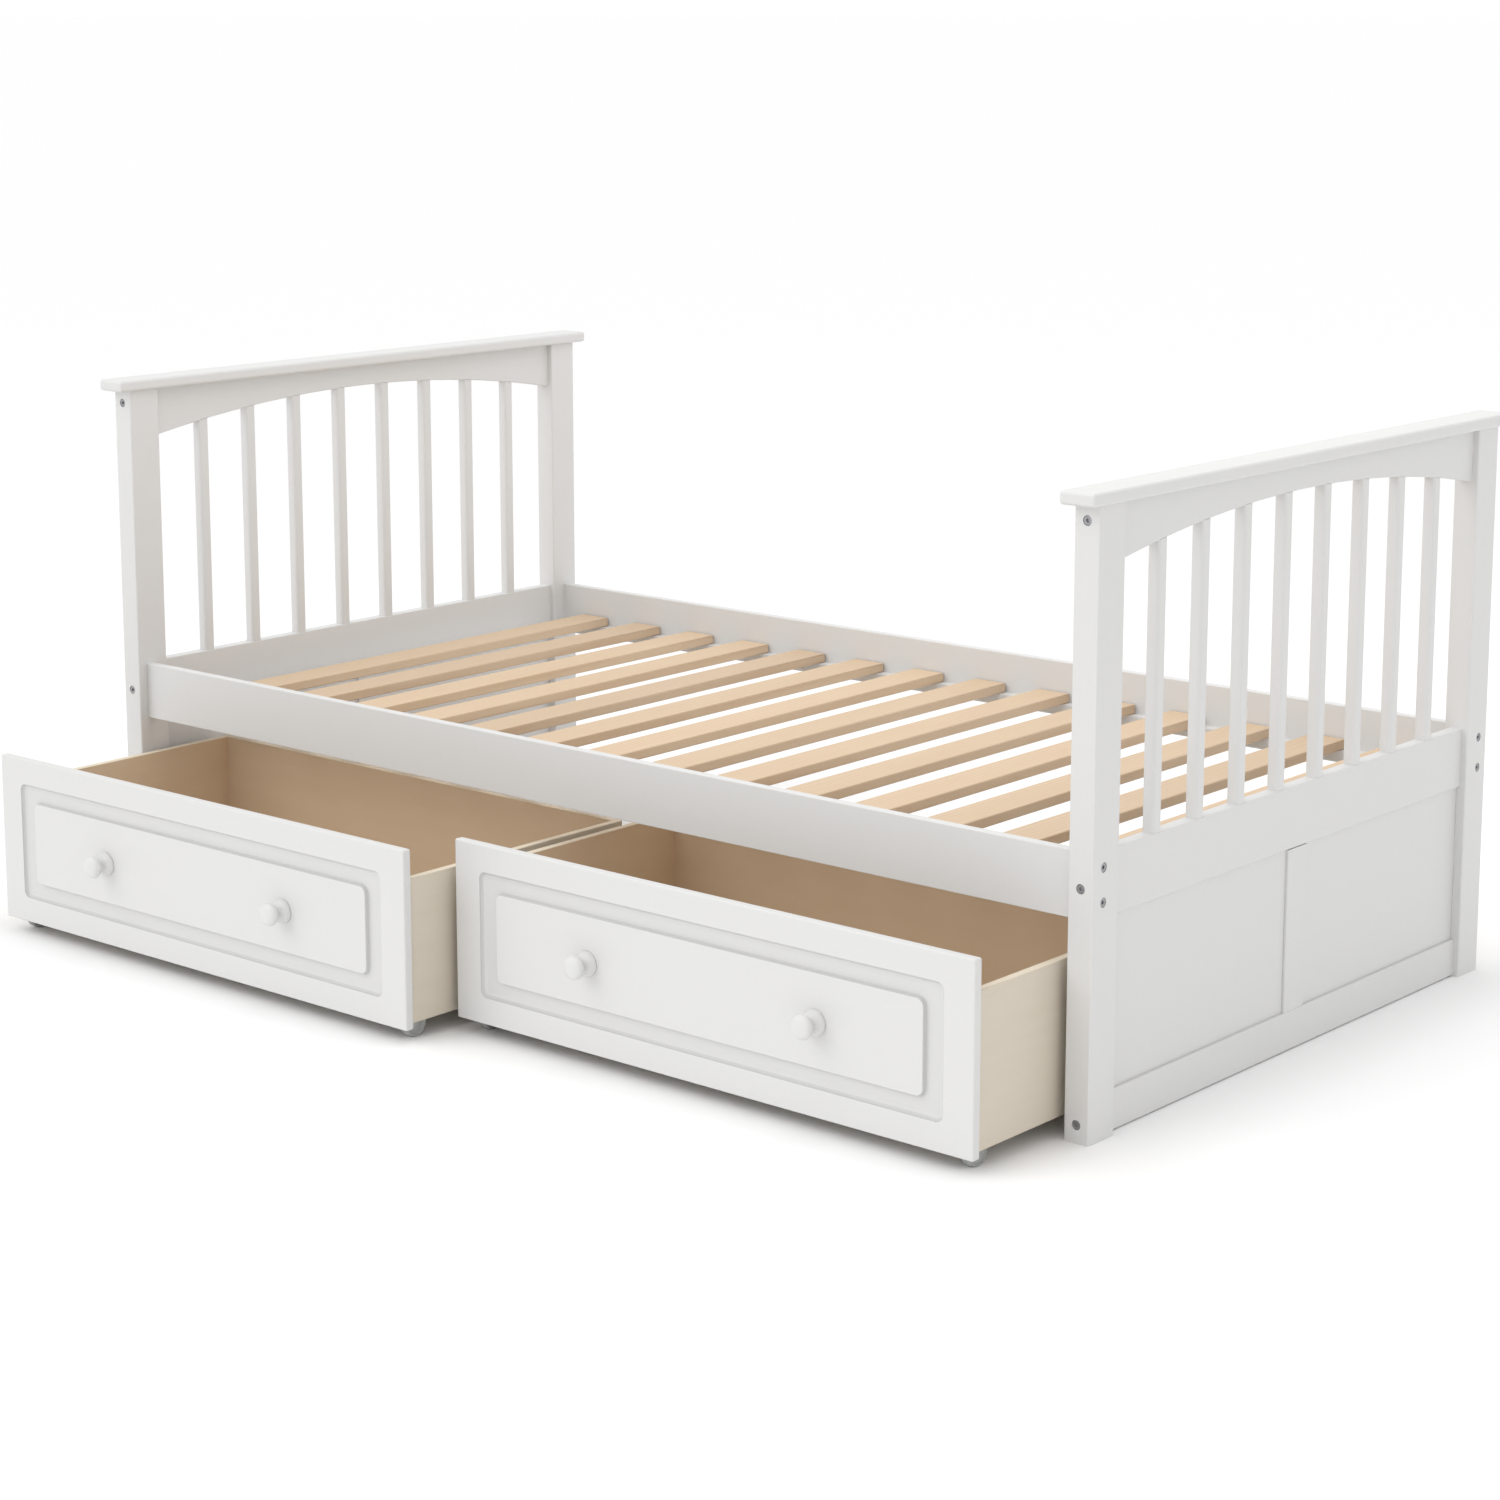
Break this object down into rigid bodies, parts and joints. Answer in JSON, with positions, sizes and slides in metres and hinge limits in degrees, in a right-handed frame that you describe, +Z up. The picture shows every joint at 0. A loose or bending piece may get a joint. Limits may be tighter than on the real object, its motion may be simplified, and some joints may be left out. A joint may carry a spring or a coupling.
{
  "type": "bed frame",
  "caption": "White wooden slatted bed frame with arched, spindled head and foot ends and roller drawers along one long side.",
  "frame": {"origin": "on the floor, midway between the four posts", "axes": "+X runs along the bed to the foot end, +Y points to the long side without drawers, +Z is up. The drawers open towards -Y."},
  "size_m": [2.017, 1.4305, 0.884],
  "materials": {
    "white_painted_wood": "satin white paint on solid wood",
    "bare_pine": "planed pine, no finish",
    "lacquered_plywood": "clear-lacquered birch plywood",
    "beech": "plain turned dowel",
    "zinc_plated_steel": "dull zinc plating",
    "grey_nylon": "moulded, slightly glossy"
  },
  "bodies": {
    "bed_frame": {"head_post_drawer_side": "white_painted_wood", "head_post_closed_side": "white_painted_wood", "head_cap": "white_painted_wood", "head_arch_rail": "white_painted_wood", "head_mid_rail": "white_painted_wood", "head_bottom_rail": "white_painted_wood", "head_centre_stile": "white_painted_wood", "head_panels": "white_painted_wood", "head_spindles": "white_painted_wood", "foot_post_drawer_side": "white_painted_wood", "foot_post_closed_side": "white_painted_wood", "foot_cap": "white_painted_wood", "foot_arch_rail": "white_painted_wood", "foot_mid_rail": "white_painted_wood", "foot_bottom_rail": "white_painted_wood", "foot_centre_stile": "white_painted_wood", "foot_panels": "white_painted_wood", "foot_spindles": "white_painted_wood", "drawer_side_rail": "white_painted_wood", "drawer_side_cleat": "white_painted_wood", "closed_side_rail": "white_painted_wood", "closed_side_cleat": "white_painted_wood", "slat_01": "bare_pine", "slat_02": "bare_pine", "slat_03": "bare_pine", "slat_04": "bare_pine", "slat_05": "bare_pine", "slat_06": "bare_pine", "slat_07": "bare_pine", "slat_08": "bare_pine", "slat_09": "bare_pine", "slat_10": "bare_pine", "slat_11": "bare_pine", "slat_12": "bare_pine", "slat_13": "bare_pine", "slat_14": "bare_pine", "frame_bolts": "zinc_plated_steel", "barrel_nuts": "zinc_plated_steel", "cleat_screws": "zinc_plated_steel", "cap_dowels": "beech"},
    "left_drawer": {"left_drawer_front": "white_painted_wood", "left_drawer_side_left": "lacquered_plywood", "left_drawer_side_right": "lacquered_plywood", "left_drawer_back": "lacquered_plywood", "left_drawer_bottom": "lacquered_plywood", "left_drawer_knobs": "white_painted_wood", "left_drawer_caster_brackets": "grey_nylon", "left_drawer_caster_axles": "zinc_plated_steel"},
    "left_front_wheel_pair": {"left_drawer_front_wheels": "grey_nylon"},
    "left_rear_wheel_pair": {"left_drawer_rear_wheels": "grey_nylon"},
    "right_drawer": {"right_drawer_front": "white_painted_wood", "right_drawer_side_left": "lacquered_plywood", "right_drawer_side_right": "lacquered_plywood", "right_drawer_back": "lacquered_plywood", "right_drawer_bottom": "lacquered_plywood", "right_drawer_knobs": "white_painted_wood", "right_drawer_caster_brackets": "grey_nylon", "right_drawer_caster_axles": "zinc_plated_steel"},
    "right_front_wheel_pair": {"right_drawer_front_wheels": "grey_nylon"},
    "right_rear_wheel_pair": {"right_drawer_rear_wheels": "grey_nylon"}
  },
  "joints": [
    {"name": "left_drawer_slide", "type": "slide", "parent": "bed_frame", "child": "left_drawer", "axis": [0, -1, 0], "range_m": [-0.312, 0.128]},
    {"name": "left_front_wheel_spin", "type": "hinge", "parent": "left_drawer", "child": "left_front_wheel_pair", "pos_m": [-0.47868, -0.791, 0.02], "axis": [1, 0, 0], "continuous": true},
    {"name": "left_rear_wheel_spin", "type": "hinge", "parent": "left_drawer", "child": "left_rear_wheel_pair", "pos_m": [-0.47868, -0.398, 0.02], "axis": [1, 0, 0], "continuous": true},
    {"name": "right_drawer_slide", "type": "slide", "parent": "bed_frame", "child": "right_drawer", "axis": [0, -1, 0], "range_m": [-0.213, 0.227]},
    {"name": "right_front_wheel_spin", "type": "hinge", "parent": "right_drawer", "child": "right_front_wheel_pair", "pos_m": [0.47868, -0.692, 0.02], "axis": [1, 0, 0], "continuous": true},
    {"name": "right_rear_wheel_spin", "type": "hinge", "parent": "right_drawer", "child": "right_rear_wheel_pair", "pos_m": [0.47868, -0.299, 0.02], "axis": [1, 0, 0], "continuous": true}
  ],
  "couplings": [
    {"joint": "left_front_wheel_spin", "follows": "left_drawer_slide", "rad_per_m": 50},
    {"joint": "left_rear_wheel_spin", "follows": "left_drawer_slide", "rad_per_m": 50},
    {"joint": "right_front_wheel_spin", "follows": "right_drawer_slide", "rad_per_m": 50},
    {"joint": "right_rear_wheel_spin", "follows": "right_drawer_slide", "rad_per_m": 50}
  ]
}
